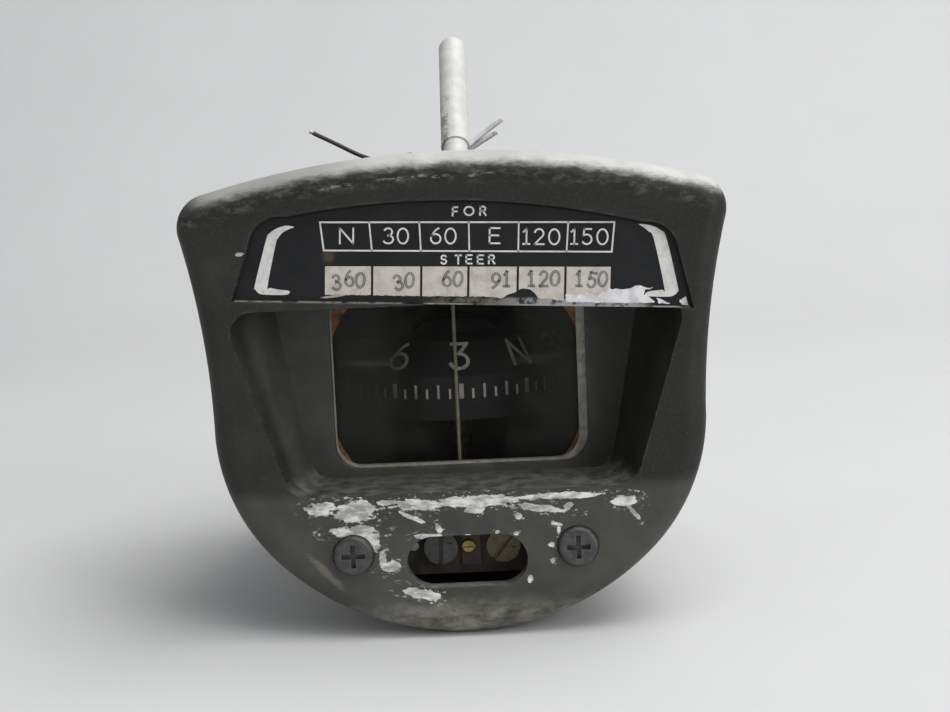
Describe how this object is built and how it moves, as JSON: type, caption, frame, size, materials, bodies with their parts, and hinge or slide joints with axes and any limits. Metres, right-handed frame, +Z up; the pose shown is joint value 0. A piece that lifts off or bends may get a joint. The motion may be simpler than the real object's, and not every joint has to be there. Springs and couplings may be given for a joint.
{
  "type": "aircraft compass",
  "caption": "Aircraft magnetic compass with a dark cover, window over a floating card, deviation card holder, adjusters in a slot, mounting rod and lamp leads.",
  "frame": {"origin": "middle of the free length of the mounting rod, on its axis", "axes": "+X to the right seen from the front, +Y from the front face to the back, +Z up; the front faces -Y"},
  "size_m": [0.0876, 0.0811, 0.0985],
  "materials": {
    "dark_cover": "worn satin",
    "dark_screw": "satin",
    "label_plate": "printed dark, satin",
    "grey_casting": "satin",
    "steel": "satin",
    "brass": "dull",
    "thin_brass": "satin",
    "cork": "matte",
    "window_glass": "clear",
    "cream_paint": "matte",
    "jewel_stone": "polished",
    "float_grey": "matte",
    "card_black": "matte",
    "brown_frame": "matte",
    "lamp_lens": "clear",
    "bulb_glass": "clear",
    "rod_paint": "chipped satin",
    "black_rubber": "matte",
    "lead_cover_white": "matte",
    "lead_cover_black": "matte"
  },
  "bodies": {
    "case": {"front_cover": "dark_cover", "rear_cover": "dark_cover", "cover_screws": "dark_screw", "rear_cover_screws": "dark_screw", "deviation_card": "label_plate", "capsule_body": "grey_casting", "window_retainer": "grey_casting", "retainer_screws": "steel", "window_gasket": "cork", "window_glass": "window_glass", "lubber_line": "cream_paint", "expansion_diaphragm": "thin_brass", "diaphragm_cover": "thin_brass", "diaphragm_screws": "brass", "filler_plug": "brass", "filler_gasket": "cork", "jewel_post": "brass", "jewel_spring": "steel", "compensator_frame": "brown_frame", "compensator_screw": "brass", "lamp_lens": "lamp_lens", "lamp_bracket": "steel", "lamp_bracket_screw": "steel", "lamp_socket": "brass", "lamp_bulb": "bulb_glass", "lamp_leads": "lead_cover_white", "mount_rod": "rod_paint", "rod_bracket": "grey_casting", "rod_bracket_screws": "steel", "rod_set_screw": "steel", "wire_grommet": "black_rubber", "black_lead": "lead_cover_black", "white_lead_a": "lead_cover_white", "white_lead_b": "lead_cover_white"},
    "jewel_mount": {"jewel_cup": "brass", "jewel": "jewel_stone"},
    "pitch_gimbal": {"pivot_tip": "steel"},
    "roll_gimbal": {"pivot_pin": "steel"},
    "card": {"float_chamber": "float_grey", "compass_card": "card_black", "card_magnets": "steel"},
    "ew_drive": {"ew_adjuster": "steel", "ew_drive_gear": "brass", "ew_drive_magnet": "steel"},
    "ew_idler": {"ew_idler_shaft": "steel", "ew_idler_gear": "brass", "ew_idler_magnet": "steel"},
    "ns_drive": {"ns_adjuster": "brass", "ns_drive_gear": "brass", "ns_drive_magnet": "steel"},
    "ns_idler": {"ns_idler_shaft": "steel", "ns_idler_gear": "brass", "ns_idler_magnet": "steel"}
  },
  "joints": [
    {"name": "jewel_bounce", "type": "slide", "parent": "case", "child": "jewel_mount", "axis": [0, 0, 1], "range_m": [-0.0008, 0], "stiffness_N_per_m": 200, "springref_m": 0.002, "deforming": ["jewel_spring"]},
    {"name": "card_pitch", "type": "hinge", "parent": "jewel_mount", "child": "pitch_gimbal", "pos_m": [-0.0015, -0.00318, -0.04818], "axis": [1, 0, 0], "range_deg": [-18, 18]},
    {"name": "card_roll", "type": "hinge", "parent": "pitch_gimbal", "child": "roll_gimbal", "pos_m": [-0.0015, -0.00318, -0.04818], "axis": [0, 1, 0], "range_deg": [-18, 18]},
    {"name": "card_turn", "type": "hinge", "parent": "roll_gimbal", "child": "card", "pos_m": [-0.0015, -0.00318, -0.04818], "axis": [0, 0, 1], "continuous": true},
    {"name": "ew_drive_turn", "type": "hinge", "parent": "case", "child": "ew_drive", "pos_m": [-0.0051, -0.04228, -0.07378], "axis": [0, 1, 0], "continuous": true},
    {"name": "ew_idler_turn", "type": "hinge", "parent": "case", "child": "ew_idler", "pos_m": [-0.0096, -0.04228, -0.07378], "axis": [0, 1, 0], "continuous": true},
    {"name": "ns_drive_turn", "type": "hinge", "parent": "case", "child": "ns_drive", "pos_m": [0.0053, -0.04228, -0.07378], "axis": [0, 1, 0], "continuous": true},
    {"name": "ns_idler_turn", "type": "hinge", "parent": "case", "child": "ns_idler", "pos_m": [0.0098, -0.04228, -0.07378], "axis": [0, 1, 0], "continuous": true}
  ],
  "couplings": [
    {"joint": "ew_idler_turn", "follows": "ew_drive_turn", "ratio": -1},
    {"joint": "ns_idler_turn", "follows": "ns_drive_turn", "ratio": -1}
  ]
}
